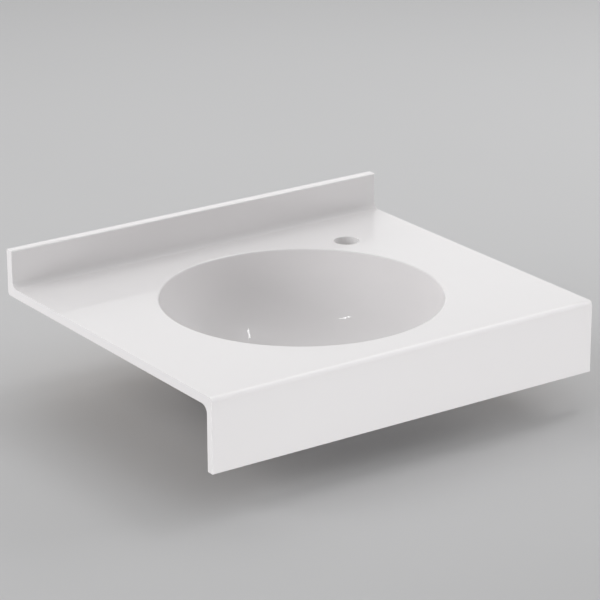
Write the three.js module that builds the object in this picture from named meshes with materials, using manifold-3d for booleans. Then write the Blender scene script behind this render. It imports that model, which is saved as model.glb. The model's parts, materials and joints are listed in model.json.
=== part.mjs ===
// A vanity sink top of 13 mm solid-surface sheet: a deck with a bonded round bowl, a coved backsplash
// and a drop apron, on a plywood sub-frame that carries the threaded inserts for the cabinet's screws.
// Millimetres, +Z up, the user's side towards -Y. The origin is on the wall plane, on the centre line,
// at the height of the deck's finished top.
import * as THREE from "three";
import { mergeVertices, toCreasedNormals } from "three/addons/utils/BufferGeometryUtils.js";
import Module from "manifold-3d";

const wasm = await Module();
wasm.setup();

// The sheet and the deck
const deckWidth = 600;
const deckDepth = 500;
const sheetThickness = 13;
const frontEdgeRadius = 6; // routed along the deck's front top edge
const rearEdgeRadius = 5; // along the deck's rear bottom edge
const endEase = 1.5; // sanded round both ends of the whole profile

// The backsplash, and the cove strip under it, which lies in a rabbet in the deck
const backsplashHeight = 52; // above the deck's top
const backsplashEdgeRadius = 3;
const coveRadius = 10;
const coveRabbetDepth = 4;
const coveLand = 2; // flat of the strip in front of the cove, flush with the deck

// The apron and the fillet strip behind its joint
const apronHeight = 100; // from the deck's top
const apronThickness = 11;
const apronEdgeRadius = 2;
const filletRadius = 11;

// The bowl
const bowlFrontMargin = 50; // from the front face to the rim
const bowlRearMargin = 70; // from the wall to the rim
const bowlDepth = 130; // from the deck's top to where the floor would meet the axis
const bowlWall = 9;
const bowlFloorFall = 5; // of the floor towards the outlet
const bowlRoundness = 2.35; // exponent of the wall's curve: 2 is an ellipse, more is squarer
const rimRadius = 2.5;
const flangeWidth = 14;
const flangeThickness = 10;
const beadSize = 4; // of the adhesive squeezed out round the flange
const bondGap = 0.3; // between the flange's edge and that bead

// The waste outlet in the bowl's floor
const outletRadius = 23;
const wasteSeatRadius = 32.5;
const wasteSeatDepth = 4;
const wasteFloorThickness = 14;
const outletBossRadius = 41;
const outletBossChamfer = 2;

// The tap hole, 180 to the right of the bowl's centre and 150 behind it
const tapHoleRadius = 17.5;
const tapHoleFromRim = 44.3; // from the bowl's rim to the hole's centre
const tapHoleAngle = THREE.MathUtils.degToRad(39.8); // round the bowl, from +X towards the wall
const tapHoleEase = 0.8;

// The sub-frame of plywood rails on beds of silicone
const railThickness = 18;
const railEase = 1.5;
const sideRailWidth = 40;
const railClearance = 5; // to the bowl's flange, the wall and the fillet strip
const railJointGap = 0.3; // between the rear rail and the side rails' ends
const bedThickness = 2;
const bedInset = 6; // from the rail's edges

// The threaded inserts in the rails, flush with their undersides
const insertRadius = 4.5;
const insertBoreRadius = 2.6;
const insertLength = 13;
const insertFlangeRadius = 7;
const insertFlangeThickness = 1.5;
const insertBarbDepth = 0.6;
const insertFit = 0.3; // all round in its hole
const insertFromRailEnd = 60;

// How finely round forms are divided, and how far cutters run on
const bowlSegments = 64;
const bowlWallSteps = 12;
const holeSegments = 32;
const insertSegments = 12;
const insertBarbs = 4;
const arcSteps = 6;
const easeSteps = 3;
const cutOverrun = 10;

// Places that follow from the sizes
const bowlRadius = (deckDepth - bowlFrontMargin - bowlRearMargin) / 2;
const bowlCentreY = -(bowlRearMargin + bowlRadius);
const underside = -sheetThickness;
const flangeRadius = bowlRadius + flangeWidth;
const wasteSeatZ = -(bowlDepth + wasteSeatDepth);
const outletBottomZ = wasteSeatZ - wasteFloorThickness;
const tapHoleX = (bowlRadius + tapHoleFromRim) * Math.cos(tapHoleAngle);
const tapHoleY = bowlCentreY + (bowlRadius + tapHoleFromRim) * Math.sin(tapHoleAngle);
const coveFrontY = -(sheetThickness + coveRadius);
const coveStripFrontY = coveFrontY - coveLand;
const apronInnerY = apronThickness - deckDepth;
const railTop = underside - bedThickness;

// Finishes
const solidSurface = new THREE.MeshStandardMaterial({ color: 0xe7e5e6, roughness: 0.35, metalness: 0 });
const adhesive = new THREE.MeshStandardMaterial({ color: 0xd8d4cc, roughness: 0.5, metalness: 0 });
const plywood = new THREE.MeshStandardMaterial({ color: 0xc49a66, roughness: 0.7, metalness: 0 });
const silicone = new THREE.MeshStandardMaterial({ color: 0x9a9c9e, roughness: 0.55, metalness: 0 });
const brass = new THREE.MeshStandardMaterial({ color: 0xc8a24a, roughness: 0.35, metalness: 1 });

// A closed mesh as a solid for joining and cutting
function solidOf(geometry) {
  const bare = (geometry.index ? geometry.toNonIndexed() : geometry.clone())
    .deleteAttribute("normal")
    .deleteAttribute("uv");
  const merged = mergeVertices(bare);
  const corners = merged.index.array;
  const triangles = [];
  for (let i = 0; i < corners.length; i += 3) {
    const [a, b, c] = corners.subarray(i, i + 3);
    if (a !== b && b !== c && c !== a) triangles.push(a, b, c);
  }
  const vertProperties = merged.getAttribute("position").array;
  return new wasm.Manifold(
    new wasm.Mesh({ numProp: 3, vertProperties, triVerts: new Uint32Array(triangles) }),
  );
}

// A solid's surface as a geometry again, smooth over its curves and sharp at its edges
function geometryOf(solid) {
  const mesh = solid.getMesh();
  const geometry = new THREE.BufferGeometry();
  geometry.setAttribute("position", new THREE.BufferAttribute(mesh.vertProperties, 3));
  geometry.setIndex(new THREE.BufferAttribute(mesh.triVerts, 1));
  return toCreasedNormals(geometry, THREE.MathUtils.degToRad(35));
}

// A section in the Y-Z plane run along X, about the centre line. An ease rounds both ends.
function bar(section, length, ease = 0) {
  const geometry = new THREE.ExtrudeGeometry(section, {
    depth: length - 2 * ease,
    bevelEnabled: ease > 0,
    bevelThickness: ease,
    bevelSize: ease,
    bevelOffset: -ease,
    bevelSegments: easeSteps,
  });
  geometry.translate(0, 0, ease - length / 2);
  return geometry.applyMatrix4(
    new THREE.Matrix4().makeBasis(
      new THREE.Vector3(0, 1, 0),
      new THREE.Vector3(0, 0, 1),
      new THREE.Vector3(1, 0, 0),
    ),
  );
}

// A section of [radius, height] points, anticlockwise, revolved about Z
function turned(section, segments) {
  const points = [...section, section[0]].map(([radius, height]) => new THREE.Vector2(radius, height));
  return new THREE.LatheGeometry(points, segments).rotateX(Math.PI / 2);
}

// Points along an arc about a centre, its ends given in quarter turns
function quarterArc(centreX, centreY, radius, fromQuarter, toQuarter) {
  return Array.from({ length: arcSteps + 1 }, (_, step) => {
    const quarters = fromQuarter + ((toQuarter - fromQuarter) * step) / arcSteps;
    const angle = quarters * (Math.PI / 2);
    return [centreX + radius * Math.cos(angle), centreY + radius * Math.sin(angle)];
  });
}

function shapeOf(points) {
  return new THREE.Shape(points.map(([x, y]) => new THREE.Vector2(x, y)));
}

function rectangle(left, bottom, right, top) {
  return shapeOf([
    [left, bottom],
    [right, bottom],
    [right, top],
    [left, top],
  ]);
}

// The outside of all the sheet work in section, from the wall to the apron. Every sheet piece is cut
// from it, so the faces run on through the joints and the ends are eased as one.
function sheetWork() {
  const backsplashTop = backsplashHeight - backsplashEdgeRadius;
  const apronBottom = -apronHeight + apronEdgeRadius;
  const outline = [
    ...quarterArc(-rearEdgeRadius, underside + rearEdgeRadius, rearEdgeRadius, -1, 0),
    ...quarterArc(-backsplashEdgeRadius, backsplashTop, backsplashEdgeRadius, 0, 1),
    ...quarterArc(backsplashEdgeRadius - sheetThickness, backsplashTop, backsplashEdgeRadius, 1, 2),
    ...quarterArc(coveFrontY, coveRadius, coveRadius, 0, -1),
    ...quarterArc(frontEdgeRadius - deckDepth, -frontEdgeRadius, frontEdgeRadius, 1, 2),
    ...quarterArc(apronEdgeRadius - deckDepth, apronBottom, apronEdgeRadius, 2, 3),
    ...quarterArc(apronInnerY - apronEdgeRadius, apronBottom, apronEdgeRadius, 3, 4),
    ...quarterArc(apronInnerY + filletRadius, underside - filletRadius, filletRadius, 2, 1),
  ];
  return solidOf(bar(shapeOf(outline), deckWidth, endEase));
}

// The part of the sheet work inside a section
function cutFromSheetWork(section) {
  return sheetWork().intersect(solidOf(bar(section, deckWidth + 2 * cutOverrun)));
}

// The cutter that leaves the bowl's opening with a rounded rim
function bowlOpening() {
  const section = [
    [0, underside - cutOverrun],
    [bowlRadius, underside - cutOverrun],
    ...quarterArc(bowlRadius + rimRadius, -rimRadius, rimRadius, 2, 1),
    [bowlRadius + rimRadius, cutOverrun],
    [0, cutOverrun],
  ];
  return solidOf(turned(section, bowlSegments).translate(0, bowlCentreY, 0));
}

// The cutter for the tap hole, its top edge eased
function tapHole() {
  const section = [
    [0, underside - cutOverrun],
    [tapHoleRadius, underside - cutOverrun],
    [tapHoleRadius, -tapHoleEase],
    [tapHoleRadius + tapHoleEase, 0],
    [tapHoleRadius + tapHoleEase, cutOverrun],
    [0, cutOverrun],
  ];
  return solidOf(turned(section, holeSegments).translate(tapHoleX, tapHoleY, 0));
}

function deckSheetGeometry() {
  const section = shapeOf([
    [-deckDepth - cutOverrun, underside],
    [cutOverrun, underside],
    [cutOverrun, -coveRabbetDepth],
    [coveStripFrontY, -coveRabbetDepth],
    [coveStripFrontY, cutOverrun],
    [-deckDepth - cutOverrun, cutOverrun],
  ]);
  return geometryOf(cutFromSheetWork(section).subtract(bowlOpening()).subtract(tapHole()));
}

function coveStripGeometry() {
  return geometryOf(
    cutFromSheetWork(rectangle(coveStripFrontY, -coveRabbetDepth, cutOverrun, coveRadius)),
  );
}

function backsplashGeometry() {
  const section = rectangle(
    -sheetThickness - cutOverrun,
    coveRadius,
    cutOverrun,
    backsplashHeight + cutOverrun,
  );
  return geometryOf(cutFromSheetWork(section));
}

function frontApronGeometry() {
  const section = rectangle(
    -deckDepth - cutOverrun,
    -apronHeight - cutOverrun,
    apronInnerY,
    underside,
  );
  return geometryOf(cutFromSheetWork(section));
}

function apronFilletGeometry() {
  const section = rectangle(
    apronInnerY,
    underside - filletRadius,
    apronInnerY + filletRadius,
    underside,
  );
  return geometryOf(cutFromSheetWork(section));
}

// The bowl's inner face is a superellipse with its floor falling towards the outlet. Its points run
// from the joint under the rim to a radius, each moved out square to the face by an offset.
function bowlFace(toRadius, offset) {
  const depth = bowlDepth - sheetThickness - bowlFloorFall;
  const lastTurn = Math.acos((toRadius / bowlRadius) ** (bowlRoundness / 2));
  return Array.from({ length: bowlWallSteps + 1 }, (_, step) => {
    const turn = (lastTurn * step) / bowlWallSteps;
    const radiusShare = Math.cos(turn) ** (2 / bowlRoundness);
    const depthShare = Math.sin(turn) ** (2 / bowlRoundness);
    const fall = bowlFloorFall * (1 - radiusShare);
    const point = new THREE.Vector2(bowlRadius * radiusShare, underside - depth * depthShare - fall);
    const outward = new THREE.Vector2(
      radiusShare ** (bowlRoundness - 1) / bowlRadius,
      -(depthShare ** (bowlRoundness - 1)) / depth,
    ).normalize();
    return point.addScaledVector(outward, offset).toArray();
  });
}

// The bowl turned in one: from the outlet's boss up the outer face to the bonding flange, then down
// the inner face to the seat of the waste
function bowlGeometry() {
  const flangeBottom = underside - flangeThickness;
  const outerFace = bowlFace(outletBossRadius, bowlWall)
    .filter(([radius, height]) => height < flangeBottom && radius > outletBossRadius)
    .reverse();
  const section = [
    [outletRadius, outletBottomZ],
    [outletBossRadius - outletBossChamfer, outletBottomZ],
    [outletBossRadius, outletBottomZ + outletBossChamfer],
    [outletBossRadius, outerFace[0][1]],
    ...outerFace,
    [bowlRadius + bowlWall, flangeBottom],
    [flangeRadius, flangeBottom],
    [flangeRadius, underside],
    ...bowlFace(wasteSeatRadius, 0),
    [wasteSeatRadius, wasteSeatZ],
    [outletRadius, wasteSeatZ],
  ];
  return turned(section, bowlSegments);
}

// The bead that is squeezed out in the corner between the flange and the deck
function bondBeadGeometry() {
  const inside = flangeRadius + bondGap;
  const section = [
    ...quarterArc(inside + beadSize, underside - beadSize, beadSize, 2, 1),
    [inside, underside],
  ];
  return turned(section, bowlSegments);
}

// The space that an insert fills in its rail, grown by the fit
function insertHole() {
  const sinkDepth = insertFlangeThickness + insertFit;
  const section = [
    [0, -cutOverrun],
    [insertFlangeRadius + insertFit, -cutOverrun],
    [insertFlangeRadius + insertFit, sinkDepth],
    [insertRadius + insertFit, sinkDepth],
    [insertRadius + insertFit, insertLength + insertFit],
    [0, insertLength + insertFit],
  ];
  return turned(section, insertSegments);
}

// An insert standing on its flange, with its barbs up the outside
function insertGeometry() {
  const rootRadius = insertRadius - insertBarbDepth;
  const pitch = (insertLength - insertFlangeThickness) / insertBarbs;
  const barbs = Array.from({ length: insertBarbs }, (_, barb) => {
    const foot = insertFlangeThickness + barb * pitch;
    return [
      [rootRadius, foot],
      [insertRadius, foot + insertBarbDepth],
      [rootRadius, foot + pitch - insertBarbDepth],
    ];
  }).flat();
  const section = [
    [insertBoreRadius, 0],
    [insertFlangeRadius, 0],
    [insertFlangeRadius, insertFlangeThickness],
    ...barbs,
    [rootRadius, insertLength],
    [insertBoreRadius, insertLength],
  ];
  return turned(section, insertSegments);
}

function named(name, geometry, material) {
  const mesh = new THREE.Mesh(geometry, material);
  mesh.name = name;
  return mesh;
}

// A rail with its bed and its two inserts, about its own centre with its top at z 0. It lies along X,
// or along Y where it is a side rail. The inserts' names start at the lower end.
function railGroup(name, insertNames, length, width, alongY) {
  const lay = (geometry) => (alongY ? geometry.rotateZ(Math.PI / 2) : geometry);
  const side = width / 2;
  const railSection = shapeOf([
    [-side + railEase, -railThickness],
    [side - railEase, -railThickness],
    [side, -railThickness + railEase],
    [side, -railEase],
    [side - railEase, 0],
    [-side + railEase, 0],
    [-side, -railEase],
    [-side, -railThickness + railEase],
  ]);
  const bedRadius = bedThickness / 2;
  const bedSide = side - bedInset - bedRadius;
  const bedSection = shapeOf([
    ...quarterArc(bedSide, bedRadius, bedRadius, -1, 1),
    ...quarterArc(-bedSide, bedRadius, bedRadius, 1, 3),
  ]);
  const reach = length / 2 - insertFromRailEnd;
  const group = new THREE.Group();
  let rail = solidOf(lay(bar(railSection, length, railEase)));
  for (const [end, insertName] of insertNames.entries()) {
    const along = end === 0 ? -reach : reach;
    const insert = named(insertName, insertGeometry(), brass);
    insert.position.set(alongY ? 0 : along, alongY ? along : 0, -railThickness);
    rail = rail.subtract(solidOf(insertHole().translate(...insert.position.toArray())));
    group.add(insert);
  }
  group.add(named(`${name}_rail`, geometryOf(rail), plywood));
  group.add(named(`${name}_rail_bed`, lay(bar(bedSection, length - 2 * bedInset)), silicone));
  return group;
}

const sinkTop = new THREE.Group();
sinkTop.add(named("deck_sheet", deckSheetGeometry(), solidSurface));
sinkTop.add(named("cove_strip", coveStripGeometry(), solidSurface));
sinkTop.add(named("backsplash", backsplashGeometry(), solidSurface));
sinkTop.add(named("front_apron", frontApronGeometry(), solidSurface));
sinkTop.add(named("apron_fillet", apronFilletGeometry(), solidSurface));

const bowlWork = new THREE.Group();
bowlWork.position.y = bowlCentreY;
bowlWork.add(named("bowl", bowlGeometry(), solidSurface));
bowlWork.add(named("bowl_bond_bead", bondBeadGeometry(), adhesive));
sinkTop.add(bowlWork);

// The rear rail runs between the wall and the flange, the side rails from it to the fillet strip, each
// midway between the flange and the deck's end
const rearRailFrontY = -(bowlRearMargin - flangeWidth - railClearance);
const rearRailWidth = -railClearance - rearRailFrontY;
const sideRailX = (flangeRadius + deckWidth / 2) / 2;
const sideRailRearY = rearRailFrontY - railJointGap;
const sideRailFrontY = apronInnerY + filletRadius + railClearance;
const sideRailLength = sideRailRearY - sideRailFrontY;

const rearRail = railGroup(
  "rear",
  ["rear_left_insert", "rear_right_insert"],
  2 * sideRailX + sideRailWidth,
  rearRailWidth,
  false,
);
rearRail.position.set(0, -railClearance - rearRailWidth / 2, railTop);
sinkTop.add(rearRail);

for (const [name, x] of [
  ["left", -sideRailX],
  ["right", sideRailX],
]) {
  const inserts = [`${name}_front_insert`, `${name}_rear_insert`];
  const sideRail = railGroup(name, inserts, sideRailLength, sideRailWidth, true);
  sideRail.position.set(x, sideRailFrontY + sideRailLength / 2, railTop);
  sinkTop.add(sideRail);
}

export default sinkTop;
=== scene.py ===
import json
import math

import bmesh
import bpy
from mathutils import Matrix, Vector

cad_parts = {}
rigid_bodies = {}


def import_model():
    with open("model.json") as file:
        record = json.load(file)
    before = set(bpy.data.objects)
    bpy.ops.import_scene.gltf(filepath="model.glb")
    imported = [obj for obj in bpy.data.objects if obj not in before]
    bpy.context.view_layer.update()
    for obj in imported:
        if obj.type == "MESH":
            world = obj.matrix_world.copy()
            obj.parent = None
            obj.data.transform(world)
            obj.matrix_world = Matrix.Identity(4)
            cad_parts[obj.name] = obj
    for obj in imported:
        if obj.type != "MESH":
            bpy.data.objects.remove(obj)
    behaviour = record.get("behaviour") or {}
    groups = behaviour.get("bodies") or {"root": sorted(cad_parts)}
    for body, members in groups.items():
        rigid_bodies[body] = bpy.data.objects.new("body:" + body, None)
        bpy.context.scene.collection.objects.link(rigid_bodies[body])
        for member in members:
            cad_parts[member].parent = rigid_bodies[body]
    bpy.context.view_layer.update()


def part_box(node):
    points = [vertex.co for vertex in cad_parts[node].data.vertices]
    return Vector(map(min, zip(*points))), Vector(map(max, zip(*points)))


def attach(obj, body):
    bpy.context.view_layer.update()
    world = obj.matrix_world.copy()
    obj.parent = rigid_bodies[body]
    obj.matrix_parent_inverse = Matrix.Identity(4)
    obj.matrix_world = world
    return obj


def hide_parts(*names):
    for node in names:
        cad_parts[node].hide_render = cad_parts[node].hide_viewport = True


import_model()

# A vanity sink top of bonded white sheet: deck, cove strip, backsplash, drop apron and a round bowl, on a
# plywood sub-frame. Metres, +Z up, the user's side towards -Y, the wall at y 0, the deck's top at z 0.

fullTurn = 2 * math.pi
tiny = 0.00001  # two places closer than this are the same
mergeDistance = 0.000001  # points closer than this become one
straight = 0.9  # a face looks along an axis when at least this share of its normal does
upright = 0.1  # a wall's normal has less than this share of Z
sharpAngle = 30.0  # degrees: an edge that is bent more stays sharp, where a piece has no angle of its own

deckLow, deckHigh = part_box("deck_sheet")
coveLow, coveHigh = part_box("cove_strip")
splashLow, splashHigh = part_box("backsplash")
apronLow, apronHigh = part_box("front_apron")
filletLow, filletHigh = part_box("apron_fillet")
bowlLow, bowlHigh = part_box("bowl")
beadLow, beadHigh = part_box("bowl_bond_bead")
bowlCentre = Vector(((bowlLow.x + bowlHigh.x) / 2, (bowlLow.y + bowlHigh.y) / 2, 0))


# Camera, fitted to the edges in a square picture 600 pixels wide
cameraSettings = {
    "pictureWidth": 600,
    "focalLength": 2882.46,  # in pixels
    "sensorWidth": 36,
    "centreX": 297.65,  # where the middle of the deck's top falls
    "centreY": 293.11,
    "azimuth": -34.69,
    "elevation": 19.91,
    "roll": -0.23,
    "distance": 3.83634,  # from the middle of the deck's top
}


def makeCamera():
    look = cameraSettings
    azimuth, elevation, roll = (math.radians(look[key]) for key in ("azimuth", "elevation", "roll"))
    back = Vector((
        math.sin(azimuth) * math.cos(elevation),
        -math.cos(azimuth) * math.cos(elevation),
        math.sin(elevation),
    ))
    level = (-back).cross(Vector((0, 0, 1))).normalized()
    plumb = level.cross(-back)
    right = level * math.cos(roll) + plumb * math.sin(roll)
    up = plumb * math.cos(roll) - level * math.sin(roll)
    middle = (deckLow + deckHigh) / 2
    middle.z = deckHigh.z
    half = look["pictureWidth"] / 2
    metresPerPixel = look["distance"] / look["focalLength"]
    place = middle + back * look["distance"]
    place -= right * (look["centreX"] - half) * metresPerPixel
    place += up * (look["centreY"] - half) * metresPerPixel
    bpy.ops.object.camera_add(location=place, rotation=Matrix((right, up, back)).transposed().to_euler())
    camera = bpy.context.object
    camera.name = "camera"
    camera.data.sensor_width = look["sensorWidth"]
    camera.data.lens = look["focalLength"] / look["pictureWidth"] * look["sensorWidth"]
    bpy.context.scene.camera = camera


makeCamera()
print("camera placed")


# Material nodes. A noise is given as its scale, detail and roughness.
noiseRange = (0.3, 0.7)  # where most of a noise's values lie


def newMaterial(name):
    material = bpy.data.materials.new(name)
    material.use_nodes = True
    tree = material.node_tree
    return material, tree, tree.nodes["Principled BSDF"]


def connect(tree, socket, value):  # a link, a number or a colour
    if isinstance(value, bpy.types.NodeSocket):
        tree.links.new(value, socket)
    elif isinstance(value, tuple):
        socket.default_value = (*value, 1)
    else:
        socket.default_value = value


def objectPlace(tree, scale=(1, 1, 1)):  # Object coordinates, stretched
    coordinates = tree.nodes.new("ShaderNodeTexCoord")
    mapping = tree.nodes.new("ShaderNodeMapping")
    mapping.inputs["Scale"].default_value = scale
    tree.links.new(coordinates.outputs["Object"], mapping.inputs["Vector"])
    return mapping.outputs["Vector"]


def noise(tree, place, scale, detail, roughness):
    texture = tree.nodes.new("ShaderNodeTexNoise")
    texture.inputs["Scale"].default_value = scale
    texture.inputs["Detail"].default_value = detail
    texture.inputs["Roughness"].default_value = roughness
    tree.links.new(place, texture.inputs["Vector"])
    return texture.outputs["Fac"]


def toRange(tree, value, low, high, source=noiseRange):
    ranged = tree.nodes.new("ShaderNodeMapRange")
    ranged.inputs["From Min"].default_value, ranged.inputs["From Max"].default_value = source
    ranged.inputs["To Min"].default_value = low
    ranged.inputs["To Max"].default_value = high
    tree.links.new(value, ranged.inputs["Value"])
    return ranged.outputs["Result"]


def blendColours(tree, share, first, second):
    mix = tree.nodes.new("ShaderNodeMix")
    mix.data_type = "RGBA"
    connect(tree, mix.inputs["A"], first)
    connect(tree, mix.inputs["B"], second)
    connect(tree, mix.inputs["Factor"], share)
    return mix.outputs["Result"]


def mottle(tree, pattern, first, second, source=noiseRange):  # from one colour to the other by a pattern
    return blendColours(tree, toRange(tree, pattern, 0.0, 1.0, source), first, second)


def calculate(tree, operation, first, second=0.0):
    maths = tree.nodes.new("ShaderNodeMath")
    maths.operation = operation
    connect(tree, maths.inputs[0], first)
    connect(tree, maths.inputs[1], second)
    return maths.outputs["Value"]


def axisOf(tree, vector, axis):
    split = tree.nodes.new("ShaderNodeSeparateXYZ")
    tree.links.new(vector, split.inputs["Vector"])
    return split.outputs[axis]


def finishShader(tree, shader, look, colour, haze, relief):  # haze makes it duller, relief uneven
    bump = tree.nodes.new("ShaderNodeBump")
    bump.inputs["Distance"].default_value = look["depth"]
    tree.links.new(relief, bump.inputs["Height"])
    connect(tree, shader.inputs["Base Color"], colour)
    connect(tree, shader.inputs["Roughness"], toRange(tree, haze, *look["roughness"]))
    connect(tree, shader.inputs["Normal"], bump.outputs["Normal"])
    if "refraction" in look:  # brass needs none
        shader.inputs["IOR"].default_value = look["refraction"]


def patchyMaterial(name, look):  # patches of a second colour, and a grain that is both haze and relief
    material, tree, shader = newMaterial(name)
    patches = noise(tree, objectPlace(tree), *look["patches"])
    grain = noise(tree, objectPlace(tree, look["grainStretch"]), *look["grain"])
    colour = mottle(tree, patches, look["colour"], look["patchColour"])
    finishShader(tree, shader, look, colour, grain, grain)
    return material


# The white sheet where it shows: sanded and polished to a satin gloss
polishedLook = {
    "colour": (0.797, 0.78, 0.784),
    "cloudColour": (0.804, 0.787, 0.791),
    "clouds": (7, 3, 0.5),
    "haze": (40, 3, 0.5),
    "waves": (13, 1, 0.5),
    "roughness": (0.32, 0.37),
    "depth": 0.000004,
    "specular": 0.2,
    "coat": 0.6,
    "coatRoughness": 0.03,
    "refraction": 1.5,
}


def makePolished():
    look = polishedLook
    material, tree, shader = newMaterial("polishedSheet")
    place = objectPlace(tree)
    clouds, haze, waves = (noise(tree, place, *look[key]) for key in ("clouds", "haze", "waves"))
    colour = mottle(tree, clouds, look["colour"], look["cloudColour"])
    finishShader(tree, shader, look, colour, haze, waves)
    shader.inputs["Specular IOR Level"].default_value = look["specular"]
    shader.inputs["Coat Weight"].default_value = look["coat"]
    shader.inputs["Coat Roughness"].default_value = look["coatRoughness"]
    return material


# The same sheet where it is hidden: the maker's belt-sanded back
sandedLook = {
    "colour": (0.73, 0.715, 0.72),
    "dustColour": (0.79, 0.778, 0.782),
    "patches": (11, 5, 0.6),
    "scratches": (1, 4, 0.7),
    "scratchStretch": (3, 260, 260),  # long along X
    "dustRange": (0.7, 1.3),  # of patches and scratches together
    "roughness": (0.5, 0.66),
    "depth": 0.00003,
    "refraction": 1.5,
}


def makeSanded():
    look = sandedLook
    material, tree, shader = newMaterial("sandedSheet")
    patches = noise(tree, objectPlace(tree), *look["patches"])
    scratches = noise(tree, objectPlace(tree, look["scratchStretch"]), *look["scratches"])
    dust = calculate(tree, "ADD", patches, scratches)
    colour = mottle(tree, dust, look["colour"], look["dustColour"], look["dustRange"])
    finishShader(tree, shader, look, colour, scratches, scratches)
    return material


# The same sheet inside the tap hole: raw from the hole saw and dull, with rings from its teeth; its colour
# is painted paler than the sheet as painted light, to lighten the shade on the hole's wall
drilledPaintedLightLook = {
    # painted light: both colours are paler than the sheet, to lighten the shade inside the tap hole; the
    # patches stand for sawdust
    "colour": (0.835, 0.82, 0.824),
    "patchColour": (0.865, 0.851, 0.855),  # sawdust
    "patches": (90, 3, 0.5),
    "grain": (1, 2, 0.5),
    "grainStretch": (60, 60, 2200),  # rings, short along Z
    "roughness": (0.55, 0.7),
    "depth": 0.00004,
    "refraction": 1.5,
}

# The outside of the bowl, as it leaves the mould
castLook = {
    "colour": (0.77, 0.755, 0.76),
    "patchColour": (0.72, 0.7, 0.7),  # where the mix flowed together
    "patches": (9, 4, 0.6),
    "grain": (230, 2, 0.5),  # dimples
    "grainStretch": (1, 1, 1),
    "roughness": (0.4, 0.52),
    "depth": 0.00005,
    "refraction": 1.5,
}

# Two-part adhesive, a shade yellower than the sheet
adhesiveLook = {
    "colour": (0.72, 0.7, 0.65),
    "patchColour": (0.66, 0.63, 0.56),  # its skin
    "patches": (60, 3, 0.5),
    "grain": (320, 2, 0.5),  # fine lumps
    "grainStretch": (1, 1, 1),
    "roughness": (0.3, 0.5),
    "depth": 0.0001,
    "refraction": 1.49,
}

# Grey silicone between the rails and the sheet
siliconeLook = {
    "colour": (0.34, 0.35, 0.36),
    "patchColour": (0.42, 0.43, 0.44),  # its bloom
    "patches": (45, 3, 0.5),
    "grain": (140, 2, 0.5),  # ripples
    "grainStretch": (1, 1, 1),
    "roughness": (0.34, 0.5),
    "depth": 0.0001,
    "refraction": 1.41,
}

# Sealed plywood: long grain on its faces, plies at its edges
plywoodLook = {
    "plies": 13,
    "pale": (0.56, 0.39, 0.225),
    "deep": (0.42, 0.27, 0.14),
    "endGrain": (0.33, 0.2, 0.1),
    "glue": (0.16, 0.09, 0.045),
    "glueShare": 0.1,  # of a ply's thickness
    "grainScale": 260,  # across the grain
    "figureScale": 34,  # across the broader figure
    "grainStretch": 14,  # how much longer than wide both are
    "grain": (1, 4, 0.65),
    "figure": (1, 3, 0.55),
    "streakRange": (0.75, 1.25),  # of grain and figure together
    "roughness": (0.42, 0.62),
    "depth": 0.00008,
    "refraction": 1.45,
}


def makePlywood(name, alongY, low, high):
    look = plywoodLook
    material, tree, shader = newMaterial(name)
    fine, wide = look["grainScale"], look["grainScale"] / look["grainStretch"]
    stretch = (fine, wide, fine) if alongY else (wide, fine, fine)
    grain = noise(tree, objectPlace(tree, stretch), *look["grain"])
    broad = [value * look["figureScale"] / look["grainScale"] for value in stretch]
    figure = noise(tree, objectPlace(tree, broad), *look["figure"])
    streaks = toRange(tree, calculate(tree, "ADD", grain, figure), 0.0, 1.0, look["streakRange"])
    longGrain = blendColours(tree, streaks, look["pale"], look["deep"])
    crossGrain = blendColours(tree, streaks, look["deep"], look["endGrain"])
    height = calculate(tree, "SUBTRACT", axisOf(tree, objectPlace(tree), "Z"), low.z)
    ply = calculate(tree, "DIVIDE", height, (high.z - low.z) / look["plies"])
    crossed = calculate(tree, "GREATER_THAN", calculate(tree, "MODULO", ply, 2.0), 1.0)  # every second one
    glued = calculate(tree, "LESS_THAN", calculate(tree, "FRACT", ply), look["glueShare"])
    plies = blendColours(tree, crossed, longGrain, crossGrain)
    lined = blendColours(tree, glued, plies, look["glue"])
    facing = tree.nodes.new("ShaderNodeNewGeometry").outputs["Normal"]
    levelness = calculate(tree, "ABSOLUTE", axisOf(tree, facing, "Z"))
    flat = calculate(tree, "GREATER_THAN", levelness, straight)
    finishShader(tree, shader, look, blendColours(tree, flat, lined, longGrain), grain, grain)
    return material


# Turned brass, its tool marks in rings round the axis
brassLook = {
    "colour": (0.66, 0.45, 0.17),
    "tarnishColour": (0.45, 0.29, 0.11),
    "tarnish": (420, 4, 0.6),
    "roughness": (0.22, 0.42),
    "ringPitch": 0.00025,
    "depth": 0.00001,
}


def makeBrass():
    look = brassLook
    material, tree, shader = newMaterial("turnedBrass")
    tarnish = noise(tree, objectPlace(tree), *look["tarnish"])
    radius = tree.nodes.new("ShaderNodeAttribute")
    radius.attribute_name = "turnRadius"
    phase = calculate(tree, "MULTIPLY", radius.outputs["Fac"], fullTurn / look["ringPitch"])
    rings = calculate(tree, "SINE", phase)
    colour = mottle(tree, tarnish, look["colour"], look["tarnishColour"])
    finishShader(tree, shader, look, colour, tarnish, rings)
    shader.inputs["Metallic"].default_value = 1.0
    return material


polished = makePolished()
sanded = makeSanded()
# the tap hole's wall: a paler sheet, painted light on its shade
drilledPaintedLight = patchyMaterial("drilledSheetPaintedLight", drilledPaintedLightLook)
cast = patchyMaterial("castBowl", castLook)
adhesive = patchyMaterial("seamAdhesive", adhesiveLook)
silicone = patchyMaterial("greySilicone", siliconeLook)
brass = makeBrass()
print("materials made")


# Modelling by hand
def deselectAll():
    if bpy.context.object and bpy.context.object.mode != "OBJECT":
        bpy.ops.object.mode_set(mode="OBJECT")
    bpy.ops.object.select_all(action="DESELECT")


def takeUp(piece):  # selects it alone
    deselectAll()
    piece.select_set(True)
    bpy.context.view_layer.objects.active = piece


def near(first, second):
    return abs(first - second) < tiny


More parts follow.
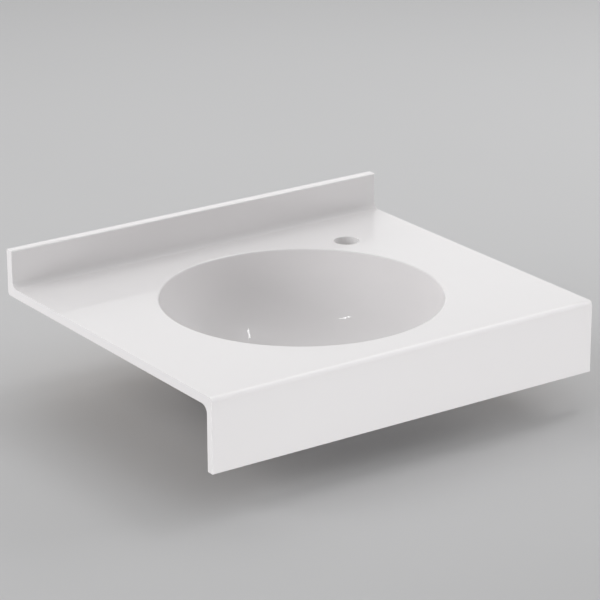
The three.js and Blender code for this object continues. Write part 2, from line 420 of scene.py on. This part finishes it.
def facesUp(face):
    return face.normal.z > straight


def facesDown(face):
    return face.normal.z < -straight


def facesWall(face):
    return face.normal.y > straight


def pick(piece, kind, test):  # in edit mode, selects the parts that pass a test
    bpy.ops.mesh.select_mode(type=kind)
    bpy.ops.mesh.select_all(action="DESELECT")
    shape = bmesh.from_edit_mesh(piece.data)
    shape.normal_update()
    for part in {"VERT": shape.verts, "EDGE": shape.edges, "FACE": shape.faces}[kind]:
        if test(part):
            part.select_set(True)
    bmesh.update_edit_mesh(piece.data)


def extrudeBy(way):  # what is selected
    bpy.ops.mesh.extrude_region_move(TRANSFORM_OT_translate={"value": way})


def bevelEdges(width, steps):  # those that are selected
    bpy.ops.mesh.bevel(offset=width, segments=steps, affect="EDGES", clamp_overlap=False)


def addBlock(name, low, high):
    deselectAll()
    bpy.ops.mesh.primitive_cube_add(size=1, location=(low + high) / 2)
    block = bpy.context.object
    block.name = block.data.name = name
    block.scale = high - low
    bpy.ops.object.transform_apply(location=True, rotation=True, scale=True)
    return block


def copyOf(piece, name):
    takeUp(piece)
    bpy.ops.object.duplicate()
    copy = bpy.context.object
    copy.name = copy.data.name = name
    return copy


def applyLast(piece):  # applies its newest modifier
    takeUp(piece)
    bpy.ops.object.modifier_apply(modifier=piece.modifiers[-1].name)


def combine(piece, cutter, operation):
    takeUp(piece)
    bpy.ops.object.modifier_add(type="BOOLEAN")
    piece.modifiers[-1].operation = operation
    piece.modifiers[-1].solver = "EXACT"
    piece.modifiers[-1].object = cutter
    applyLast(piece)
    bpy.data.objects.remove(cutter)


def cleanUp(piece):
    takeUp(piece)
    bpy.ops.object.mode_set(mode="EDIT")
    bpy.ops.mesh.select_all(action="SELECT")
    bpy.ops.mesh.remove_doubles(threshold=mergeDistance)
    bpy.ops.mesh.dissolve_degenerate(threshold=mergeDistance)
    bpy.ops.mesh.normals_make_consistent(inside=False)
    bpy.ops.object.mode_set(mode="OBJECT")


def smooth(piece, degrees=sharpAngle):  # round over its curves, with its flats kept flat
    takeUp(piece)
    bpy.ops.object.shade_smooth_by_angle(angle=math.radians(degrees))
    bpy.ops.object.modifier_add(type="WEIGHTED_NORMAL")
    piece.modifiers[-1].keep_sharp = True
    applyLast(piece)


def cloudTexture(name, size):
    clouds = bpy.data.textures.new(name, "CLOUDS")
    clouds.noise_scale = size
    return clouds


def addDisplacement(piece, texture, reach, middle):  # middle is the grey that moves nothing
    takeUp(piece)
    bpy.ops.object.modifier_add(type="DISPLACE")
    uneven = piece.modifiers[-1]
    uneven.texture, uneven.texture_coords = texture, "LOCAL"
    uneven.strength, uneven.mid_level = reach, middle
    return uneven


def paintFaces(piece, material, test):
    piece.data.materials.append(material)
    takeUp(piece)
    bpy.ops.object.mode_set(mode="EDIT")
    pick(piece, "FACE", test)
    piece.active_material_index = len(piece.data.materials) - 1
    bpy.ops.object.material_slot_assign()
    bpy.ops.object.mode_set(mode="OBJECT")


def handOver(piece, node):  # it stands for a node of the frame
    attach(piece, "root")
    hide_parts(node)


def roundCorners(outline, steps):  # points of (radius, height, corner radius), closed
    points = []
    for index, (radius, height, bend) in enumerate(outline):
        here = Vector((radius, height))
        if not bend:
            points.append(here)
            continue
        before = (Vector(outline[index - 1][:2]) - here).normalized()
        after = (Vector(outline[(index + 1) % len(outline)][:2]) - here).normalized()
        half = before.angle(after) / 2
        centre = here + (before + after).normalized() * bend / math.sin(half)
        first, last = (here + way * bend / math.tan(half) - centre for way in (before, after))
        for step in range(steps + 1):
            points.append(centre + first.slerp(last, step / steps).normalized() * bend)
    return points


def turnOutline(name, points, centre, steps, closed=True):  # points of radius and height, spun about Z
    deselectAll()
    bpy.ops.mesh.primitive_plane_add(location=(0, 0, 0))
    piece = bpy.context.object
    piece.name = piece.data.name = name
    bpy.ops.object.mode_set(mode="EDIT")
    bpy.ops.mesh.select_mode(type="VERT")
    bpy.ops.mesh.select_all(action="SELECT")
    bpy.ops.mesh.merge(type="CENTER")
    places = [Vector((centre.x + point[0], centre.y, centre.z + point[1])) for point in points]
    bpy.ops.transform.translate(value=places[0])
    for before, after in zip(places, places[1:]):
        extrudeBy(after - before)
    bpy.ops.mesh.select_all(action="SELECT")
    if closed:
        bpy.ops.mesh.edge_face_add()
        bpy.ops.mesh.delete(type="ONLY_FACE")
        bpy.ops.mesh.select_all(action="SELECT")
    bpy.ops.mesh.spin(steps=steps, angle=fullTurn, center=centre, axis=(0, 0, 1))
    cleanUp(piece)
    return piece


# The sheet work: one blank in section, rounded and eased, from which the five pieces are cut, so
# their faces run on through the sanded joints
sheetWork = {
    "frontRadius": 0.006,  # along the deck's front top edge
    "rearRadius": 0.005,  # along the deck's rear bottom edge
    "splashFrontRadius": 0.0025,  # along the backsplash's top front edge
    "splashBackRadius": 0.001,
    "apronRadius": 0.0008,  # along the apron's bottom edges
    "endEase": 0.0006,  # round both ends
    "wideSteps": 40,
    "narrowSteps": 8,
    "easeSteps": 5,
    "flatAngle": 0.001,  # radians: faces bent less become one
    "overrun": 0.02,
}


def roundAlong(piece, y, z, radius, steps):  # an edge that runs along X
    pick(piece, "EDGE", lambda edge: all(near(v.co.y, y) and near(v.co.z, z) for v in edge.verts))
    bevelEdges(radius, steps)


def makeSheetWork():
    size = sheetWork
    blank = addBlock("sheetWork", deckLow, deckHigh)
    bpy.ops.object.mode_set(mode="EDIT")
    for lineY in (splashLow.y, apronHigh.y):
        bpy.ops.mesh.select_all(action="SELECT")
        bpy.ops.mesh.bisect(plane_co=(0, lineY, 0), plane_no=(0, 1, 0))
    pick(blank, "FACE", lambda face: facesUp(face) and face.calc_center_median().y > splashLow.y)
    extrudeBy((0, 0, splashHigh.z - deckHigh.z))
    pick(blank, "FACE", lambda face: facesDown(face) and face.calc_center_median().y < apronHigh.y)
    extrudeBy((0, 0, apronLow.z - deckLow.z))
    bpy.ops.mesh.select_all(action="SELECT")
    bpy.ops.mesh.dissolve_limited(angle_limit=size["flatAngle"])
    wide, narrow = size["wideSteps"], size["narrowSteps"]
    roundAlong(blank, splashLow.y, deckHigh.z, coveHigh.z - deckHigh.z, wide)
    roundAlong(blank, apronHigh.y, deckLow.z, filletHigh.y - filletLow.y, wide)
    roundAlong(blank, apronLow.y, deckHigh.z, size["frontRadius"], wide)
    roundAlong(blank, deckHigh.y, deckLow.z, size["rearRadius"], narrow)
    roundAlong(blank, splashLow.y, splashHigh.z, size["splashFrontRadius"], wide)
    roundAlong(blank, splashHigh.y, splashHigh.z, size["splashBackRadius"], narrow)
    for y in (apronLow.y, apronHigh.y):
        roundAlong(blank, y, apronLow.z, size["apronRadius"], narrow)
    for endX in (deckLow.x, deckHigh.x):
        pick(blank, "EDGE", lambda edge: all(near(v.co.x, endX) for v in edge.verts))
        bevelEdges(size["endEase"], size["easeSteps"])
    bpy.ops.object.mode_set(mode="OBJECT")
    cleanUp(blank)
    return blank


def cutFromWork(blank, name, low, high):  # the part of the blank between two places of (y, z)
    out = sheetWork["overrun"]
    piece = copyOf(blank, name)
    lowCorner = Vector((deckLow.x - out, *low))
    highCorner = Vector((deckHigh.x + out, *high))
    combine(piece, addBlock("knife", lowCorner, highCorner), "INTERSECT")
    return piece


def finishSheet(piece, node, isHidden):
    cleanUp(piece)
    piece.data.materials.clear()
    piece.data.materials.append(polished)
    paintFaces(piece, sanded, isHidden)
    smooth(piece)
    handOver(piece, node)


# The bowl: a turned shell, its inner face a superellipse, with a bonding flange and an outlet boss
bowlShape = {
    "roundness": 2.35,  # exponent of the wall's curve: 2 is an ellipse, more is squarer
    "floorFall": 0.005,  # of the floor towards the outlet
    "wall": 0.009,
    "flangeWidth": 0.014,
    "flangeThickness": 0.01,
    "outletRadius": 0.023,
    "seatRadius": 0.0325,  # of the waste's seat
    "seatDepth": 0.004,
    "seatThickness": 0.014,
    "bossRadius": 0.041,
    "bossChamfer": 0.002,
    "edgeBend": 0.0008,  # on small edges
    "flangeBend": 0.004,  # in the corner under the flange
    "bossBend": 0.003,  # in the corner above the boss
    "bendSteps": 5,
    "innerSteps": 72,
    "outerSteps": 30,
    "turnSteps": 256,
    "floorShare": 0.5,  # least share of Z in the normals of the floor and the seat
}
bowlRadius = (bowlHigh.x - bowlLow.x) / 2 - bowlShape["flangeWidth"]
seatHeight = bowlLow.z + bowlShape["seatThickness"]


def bowlFace(toRadius, offset, steps):  # from the joint under the rim to a radius, moved out square to it
    size = bowlShape
    power = size["roundness"]
    depth = bowlHigh.z - seatHeight - size["seatDepth"] - size["floorFall"]
    lastTurn = math.acos((toRadius / bowlRadius) ** (power / 2))
    points = []
    for step in range(steps + 1):
        turn = lastTurn * step / steps
        radiusShare = math.cos(turn) ** (2 / power)
        depthShare = math.sin(turn) ** (2 / power)
        fall = size["floorFall"] * (1 - radiusShare)
        place = Vector((bowlRadius * radiusShare, bowlHigh.z - depth * depthShare - fall))
        across = Vector((radiusShare ** (power - 1) / bowlRadius, -(depthShare ** (power - 1)) / depth))
        points.append(place + across.normalized() * offset)
    return points


def makeBowl():
    size = bowlShape
    flangeRadius, flangeBottom = bowlHigh.x - bowlCentre.x, bowlHigh.z - size["flangeThickness"]
    outer = bowlFace(size["bossRadius"], size["wall"], size["outerSteps"])
    outer = [point for point in outer if point.y < flangeBottom - size["flangeBend"]]
    outer = [point for point in outer if point.x > size["bossRadius"] + size["bossBend"]][::-1]
    outline = [
        (size["outletRadius"], bowlLow.z, size["edgeBend"]),
        (size["bossRadius"] - size["bossChamfer"], bowlLow.z, size["edgeBend"]),
        (size["bossRadius"], bowlLow.z + size["bossChamfer"], size["edgeBend"]),
        (size["bossRadius"], outer[0].y, size["bossBend"]),
        *((point.x, point.y, 0) for point in outer[1:]),
        (bowlRadius + size["wall"], flangeBottom, size["flangeBend"]),
        (flangeRadius, flangeBottom, size["edgeBend"]),
        (flangeRadius, bowlHigh.z, 0),
        *((point.x, point.y, 0) for point in bowlFace(size["seatRadius"], 0, size["innerSteps"])),
        (size["seatRadius"], seatHeight, size["edgeBend"]),
        (size["outletRadius"], seatHeight, size["edgeBend"]),
    ]
    points = roundCorners(outline, size["bendSteps"])
    bowl = turnOutline("turnedBowl", points, bowlCentre, size["turnSteps"])
    bowl.data.materials.append(polished)

    def isOutside(face):
        across = (face.calc_center_median() - bowlCentre).xy
        inward = face.normal.xy.dot(across) < 0
        return across.length > bowlRadius or not (inward or face.normal.z > size["floorShare"])

    paintFaces(bowl, cast, isOutside)
    smooth(bowl)
    handOver(bowl, "bowl")


# The bowl's opening and the tap hole in the deck
deckHoles = {
    "rimRadius": 0.0025,
    "rimSteps": 14,
    "tapRadius": 0.0175,
    "tapFromRim": 0.0443,  # from the bowl's rim to the tap hole's centre
    "tapAngle": 39.8,  # round the bowl, from +X towards the wall
    "tapEase": 0.0008,
    "tapEaseSteps": 4,
    "tapSteps": 96,
    "overrun": 0.01,
}


def cutHole(deck, centre, radius, ease, easeSteps, steps):
    below, above = deckLow.z - deckHoles["overrun"], deckHigh.z + deckHoles["overrun"]
    rim = []
    for step in range(easeSteps + 1):
        angle = math.pi / 2 * step / easeSteps
        rim.append((radius + ease * (1 - math.cos(angle)), deckHigh.z - ease * (1 - math.sin(angle))))
    points = [(0, below), (radius, below), *rim, (radius + ease, above), (0, above)]
    combine(deck, turnOutline("drill", points, centre, steps, closed=False), "DIFFERENCE")


def makeDeck(blank):
    size, out = deckHoles, sheetWork["overrun"]
    low, high = (deckLow.y - out, deckLow.z), (deckHigh.y + out, splashHigh.z + out)
    deck = cutFromWork(blank, "deckSheet", low, high)
    lowCorner = Vector((deckLow.x - out, coveLow.y, coveLow.z))
    highCorner = Vector((deckHigh.x + out, *high))
    combine(deck, addBlock("knife", lowCorner, highCorner), "DIFFERENCE")
    cutHole(deck, bowlCentre, bowlRadius, size["rimRadius"], size["rimSteps"], bowlShape["turnSteps"])
    angle, reach = math.radians(size["tapAngle"]), bowlRadius + size["tapFromRim"]
    tapCentre = bowlCentre + Vector((math.cos(angle), math.sin(angle), 0)) * reach
    cutHole(deck, tapCentre, size["tapRadius"], size["tapEase"], size["tapEaseSteps"], size["tapSteps"])

    def isHidden(face):  # the underside and the rear edge
        return facesDown(face) or facesWall(face) and face.calc_center_median().y > coveLow.y

    def isPaintedLightHoleWall(face):
        across = (face.calc_center_median() - tapCentre).xy
        return across.length < size["tapRadius"] + tiny and abs(face.normal.z) < upright

    finishSheet(deck, "deck_sheet", isHidden)
    # the tap hole's wall gets the paler sheet, painted light on the hole's shade
    paintFaces(deck, drilledPaintedLight, isPaintedLightHoleWall)


def makeSheetPieces():
    blank, out = makeSheetWork(), sheetWork["overrun"]
    makeDeck(blank)
    print("deck sheet made")

    low, high = (coveLow.y, coveLow.z), (coveHigh.y + out, coveHigh.z)
    cove = cutFromWork(blank, "coveStrip", low, high)
    finishSheet(cove, "cove_strip", lambda face: facesDown(face) or facesWall(face))

    low, high = (splashLow.y - out, splashLow.z), (splashHigh.y + out, splashHigh.z + out)
    splash = cutFromWork(blank, "splashStrip", low, high)
    finishSheet(splash, "backsplash", facesWall)

    low, high = (apronLow.y - out, apronLow.z - out), (apronHigh.y, apronHigh.z)
    apron = cutFromWork(blank, "frontApron", low, high)
    finishSheet(apron, "front_apron", facesWall)

    low, high = (filletLow.y, filletLow.z), (filletHigh.y, filletHigh.z)
    fillet = cutFromWork(blank, "apronFillet", low, high)
    finishSheet(fillet, "apron_fillet", lambda face: True)
    bpy.data.objects.remove(blank)


makeSheetPieces()
print("sheet pieces made")
makeBowl()
print("bowl made")


# The bead of adhesive squeezed out round the flange
beadShape = {
    "steps": 8,
    "turnSteps": 256,
    "lumpSize": 0.012,
    "lumpHeight": 0.0007,
    "lumpMiddle": 0.3,
    "sharpAngle": 50.0,
}


def makeBead():
    size = beadShape
    outside = beadHigh.x - bowlCentre.x
    reach = beadHigh.z - beadLow.z
    inside = outside - reach
    face = []
    for step in range(size["steps"] + 1):
        angle = math.pi / 2 * step / size["steps"]
        face.append((inside + reach * (1 - math.cos(angle)), beadLow.z + reach * math.sin(angle)))
    bead = turnOutline("bowlBondBead", [*face, (inside, beadHigh.z)], bowlCentre, size["turnSteps"])

    def isFree(vert):  # off the flange and the sheet
        return (vert.co - bowlCentre).xy.length > inside + tiny and vert.co.z < beadHigh.z - tiny

    free = bead.vertex_groups.new(name="free")
    bpy.ops.object.mode_set(mode="EDIT")
    pick(bead, "VERT", isFree)
    bpy.ops.object.vertex_group_assign()
    bpy.ops.object.mode_set(mode="OBJECT")
    lumps = cloudTexture("beadLumps", size["lumpSize"])
    addDisplacement(bead, lumps, size["lumpHeight"], size["lumpMiddle"]).vertex_group = free.name
    applyLast(bead)
    bead.vertex_groups.clear()
    bead.data.materials.append(adhesive)
    smooth(bead, size["sharpAngle"])
    handOver(bead, "bowl_bond_bead")


makeBead()
print("bond bead made")


# The threaded inserts: turned barrels with barbs, a flange and a bored thread
insertShape = {
    "radius": 0.0045,
    "boreRadius": 0.0026,
    "threadDepth": 0.0004,
    "threadPitch": 0.001,
    "flangeThickness": 0.0015,
    "barbDepth": 0.0006,
    "barbs": 4,
    "mouthChamfer": 0.0005,
    "edgeBend": 0.0002,
    "bendSteps": 3,
    "fit": 0.0003,  # all round in its hole
    "turnSteps": 64,
    "sharpAngle": 25.0,
}
insertNodes = {
    "left_rail": ("left_front_insert", "left_rear_insert"),
    "right_rail": ("right_front_insert", "right_rear_insert"),
    "rear_rail": ("rear_left_insert", "rear_right_insert"),
}


def inCamelCase(name):
    first, *others = name.split("_")
    return first + "".join(word.capitalize() for word in others)


def makeFirstInsert(flangeRadius, length):
    size = insertShape
    root, bend = size["radius"] - size["barbDepth"], size["edgeBend"]
    pitch = (length - size["flangeThickness"]) / size["barbs"]
    outline = [
        (size["boreRadius"] + size["mouthChamfer"], 0, 0),
        (flangeRadius, 0, bend),
        (flangeRadius, size["flangeThickness"], bend),
    ]
    for barb in range(size["barbs"]):
        foot = size["flangeThickness"] + barb * pitch
        outline += [
            (root, foot, 0),
            (size["radius"], foot + size["barbDepth"], 0),
            (root, foot + pitch - size["barbDepth"], 0),
        ]
    outline += [(root, length, bend), (size["boreRadius"], length, 0)]
    turns = int((length - 2 * size["mouthChamfer"]) / size["threadPitch"])
    for turn in range(turns):
        crest = length - size["mouthChamfer"] - turn * size["threadPitch"]
        outline += [
            (size["boreRadius"], crest, 0),
            (size["boreRadius"] + size["threadDepth"], crest - size["threadPitch"] / 2, 0),
        ]
    outline.append((size["boreRadius"], size["mouthChamfer"], 0))
    points = roundCorners(outline, size["bendSteps"])
    insert = turnOutline("insert", points, Vector((0, 0, 0)), size["turnSteps"])
    ring = insert.data.attributes.new("turnRadius", "FLOAT", "POINT")
    for vert in insert.data.vertices:
        ring.data[vert.index].value = vert.co.xy.length
    insert.data.materials.append(brass)
    smooth(insert, size["sharpAngle"])
    return insert


def insertPlace(node):  # the middle of its flange's underside
    low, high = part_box(node)
    return Vector(((low.x + high.x) / 2, (low.y + high.y) / 2, low.z))


def makeInserts():
    low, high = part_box(insertNodes["left_rail"][0])
    first = makeFirstInsert((high.x - low.x) / 2, high.z - low.z)
    for nodes in insertNodes.values():
        for node in nodes:
            insert = copyOf(first, inCamelCase(node))
            insert.location = insertPlace(node)
            bpy.ops.object.transform_apply(location=True, rotation=True, scale=True)
            handOver(insert, node)
    bpy.data.objects.remove(first)


makeInserts()
print("inserts made")


# The plywood rails, bored for their inserts
railShape = {
    "ease": 0.0015,
    "easeSteps": 3,
    "holeSteps": 64,
    "overrun": 0.005,
}


def makeRail(node, alongY):
    size, insert = railShape, insertShape
    low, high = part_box(node)
    rail = addBlock(inCamelCase(node), low, high)
    bpy.ops.object.mode_set(mode="EDIT")
    bpy.ops.mesh.select_all(action="SELECT")
    bevelEdges(size["ease"], size["easeSteps"])
    bpy.ops.object.mode_set(mode="OBJECT")
    for insertNode in insertNodes[node]:
        flangeLow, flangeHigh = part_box(insertNode)
        flange = (flangeHigh.x - flangeLow.x) / 2 + insert["fit"]
        barrel = insert["radius"] + insert["fit"]
        mouth, sink = -size["overrun"], insert["flangeThickness"] + insert["fit"]
        top = flangeHigh.z - flangeLow.z + insert["fit"]
        points = [(0, mouth), (flange, mouth), (flange, sink), (barrel, sink), (barrel, top), (0, top)]
        drill = turnOutline("drill", points, insertPlace(insertNode), size["holeSteps"], closed=False)
        combine(rail, drill, "DIFFERENCE")
    cleanUp(rail)
    rail.data.materials.clear()
    rail.data.materials.append(makePlywood(inCamelCase(node) + "Plywood", alongY, low, high))
    smooth(rail)
    handOver(rail, node)


for railNode in insertNodes:
    makeRail(railNode, alongY=railNode != "rear_rail")
print("rails made")


# The silicone beds, squeezed out unevenly at their edges
bedShape = {
    "roundShare": 0.45,  # of the bed's thickness
    "roundSteps": 4,
    "cornerAngle": 1.0,  # radians: only edges bent more are rounded
    "cuts": 90,  # along the bed
    "waveSize": 0.025,
    "waveReach": 0.004,
    "waveMiddle": 0.5,
    "sharpAngle": 50.0,
}


def makeBed(node):
    size = bedShape
    low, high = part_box(node)
    bed = addBlock(inCamelCase(node), low, high)
    longAxis = 0 if high.x - low.x > high.y - low.y else 1

    def runsAlong(edge):
        first, second = edge.verts
        return not near(first.co[longAxis], second.co[longAxis])

    def isLevelCorner(edge):
        first, second = edge.verts
        bent = len(edge.link_faces) == 2 and edge.calc_face_angle(0) > size["cornerAngle"]
        return bent and near(first.co.z, second.co.z)

    bpy.ops.object.mode_set(mode="EDIT")
    pick(bed, "EDGE", runsAlong)
    bpy.ops.mesh.subdivide(number_cuts=size["cuts"])
    pick(bed, "EDGE", isLevelCorner)
    bevelEdges((high.z - low.z) * size["roundShare"], size["roundSteps"])
    bpy.ops.object.mode_set(mode="OBJECT")
    waves = cloudTexture(bed.name + "Waves", size["waveSize"])
    for axis in ("X", "Y"):
        addDisplacement(bed, waves, size["waveReach"], size["waveMiddle"]).direction = axis
        applyLast(bed)
    bed.data.materials.append(silicone)
    smooth(bed, size["sharpAngle"])
    handOver(bed, node)


for bedNode in ("left_rail_bed", "right_rail_bed", "rear_rail_bed"):
    makeBed(bedNode)
print("beds made")


# The floor, which the bowl's boss stands on
floorSettings = {
    "size": 40.0,
    "colour": (0.6, 0.6, 0.605),
    "mottleColour": (0.61, 0.61, 0.615),
    "mottle": (3, 3, 0.5),
    "roughness": 0.7,
    "drop": 0.0004,  # below the boss, so that the faces don't meet
}


def makeFloor():
    look = floorSettings
    deselectAll()
    bpy.ops.mesh.primitive_plane_add(size=look["size"], location=(0, bowlCentre.y, bowlLow.z - look["drop"]))
    floor = bpy.context.object
    floor.name = "floor"
    material, tree, shader = newMaterial("floorPaint")
    pattern = noise(tree, objectPlace(tree), *look["mottle"])
    colour = blendColours(tree, pattern, look["colour"], look["mottleColour"])
    connect(tree, shader.inputs["Base Color"], colour)
    shader.inputs["Roughness"].default_value = look["roughness"]
    floor.data.materials.append(material)


makeFloor()
print("floor made")


sinkTop = tuple(piece.name for piece in bpy.data.objects if piece.type == "MESH" and piece.name != "floor")
everything = (*sinkTop, "floor")
nearFloor = -0.131  # height of the low strip lights

# Soft studio lights, with the pieces that each falls on, in watts and metres. Each is aimed at the bowl's
# axis, at the deck's top or, where it stands lower, level with itself.
lights = {
    "rearLow": {"place": (0.2, 2.6, 0.62), "size": (3.2, 1.0), "power": 29, "on": sinkTop},
    "rearHigh": {"place": (0.7, 1.6, 2.0), "size": (2.0, 1.8), "power": 14.6, "on": everything},
    "rearGlow": {"place": (1.6, 2.1, 0.9), "size": (4.0, 1.6), "power": 10.4, "on": sinkTop},
    "right": {"place": (2.8, -0.3, 1.15), "size": (1.8, 1.4), "power": 21.7, "on": everything},
    "rightHigh": {"place": (1.5, 0.0, 2.45), "size": (0.7, 0.8), "power": 7.8, "on": everything},
    "left": {"place": (-2.4, 0.6, 1.6), "size": (1.8, 1.8), "power": 25.3, "on": everything},
    "leftFront": {"place": (-2.6, -0.4, 0.5), "size": (1.4, 0.8), "power": 10.5, "on": sinkTop},
    "frontHigh": {"place": (0.0, -2.4, 2.1), "size": (1.8, 1.8), "power": 3.5, "on": everything},
    "frontLow": {"place": (0.0, -1.6, nearFloor), "size": (2.0, 0.03), "power": 8.25, "on": sinkTop},
    "leftLow": {"place": (-1.6, -0.45, nearFloor), "size": (1.2, 0.03), "power": 2.6, "on": ("frontApron",)},
    "leftEnds": {
        "place": (-1.6, 0.1, nearFloor), "size": (1.4, 0.03), "power": 2.3,
        "on": ("deckSheet", "coveStrip", "splashStrip", "apronFillet"),
    },
}
mirrored = ("rearGlow",)  # the lights that polished faces mirror

# Lamps that only show as highlights, from "start" to "end" and as wide as "width". The tubes are named for
# where they stand, and each glints on the other side of the bowl.
highlights = {
    "edgeRear": {
        "start": (1.0, 0.85, 2.1), "end": (2.2, 0.85, 2.1), "width": 1.1, "power": 14,
        "on": ("deckSheet", "splashStrip"),
    },
    "edgeBox": {
        "start": (1.0, -0.6, 2.3), "end": (2.2, -0.6, 2.3), "width": 2.8, "power": 28,
        "on": ("deckSheet", "splashStrip"),
    },
    "edgeFront": {
        "start": (0.8, -2.3, 0.95), "end": (2.0, -2.3, 0.95), "width": 1.5, "power": 7,
        "on": ("deckSheet",),
    },
    "bowlBox": {
        "start": (0.78, -0.04, 2.2), "end": (1.63, -0.04, 2.2), "width": 0.85, "power": 1.2,
        "on": ("turnedBowl",),
    },
    "rightTube": {
        "start": (1.18, -0.25, 2.18), "end": (1.27, 0.24, 2.09), "width": 0.03, "power": 0.65,
        "on": ("turnedBowl",),
    },
    "leftTube": {
        "start": (-0.65, 0.2, 2.32), "end": (-0.93, 0.33, 2.19), "width": 0.05, "power": 1.0,
        "on": ("turnedBowl",),
    },
}
worldLook = {"colour": (1.0, 1.0, 1.0), "strength": 0.44}


def addLamp(name, place, turn, size, light):
    bpy.ops.object.light_add(type="AREA", location=place, rotation=turn.to_euler())
    lamp = bpy.context.object
    lamp.name = lamp.data.name = name
    lamp.data.shape = "RECTANGLE"
    lamp.data.size, lamp.data.size_y = size
    lamp.data.energy = light["power"]
    lamp.visible_camera = False
    group = bpy.data.collections.new(name + "Pieces")
    for pieceName in light["on"]:
        group.objects.link(bpy.data.objects[pieceName])
    lamp.light_linking.receiver_collection = group
    return lamp


def makeLights():
    for name, light in lights.items():
        place = Vector(light["place"])
        aim = Vector((bowlCentre.x, bowlCentre.y, min(place.z, 0))) - place
        lamp = addLamp(name, place, aim.to_track_quat("-Z", "Y"), light["size"], light)
        lamp.visible_glossy = name in mirrored


def makeHighlights():
    for name, light in highlights.items():
        start, end = Vector(light["start"]), Vector(light["end"])
        along, place = (end - start).normalized(), (start + end) / 2
        across = (place - bowlCentre).cross(along).normalized()
        turn = Matrix((along, across, along.cross(across))).transposed()
        lamp = addLamp(name, place, turn, ((end - start).length, light["width"]), light)
        lamp.visible_diffuse = False


def makeWorld():
    world = bpy.data.worlds.new("studio")
    world.use_nodes = True
    background = world.node_tree.nodes["Background"]
    connect(world.node_tree, background.inputs["Color"], worldLook["colour"])
    background.inputs["Strength"].default_value = worldLook["strength"]
    bpy.context.scene.world = world


makeLights()
makeHighlights()
makeWorld()
bpy.context.scene.view_settings.view_transform = "Standard"
print("lights placed")
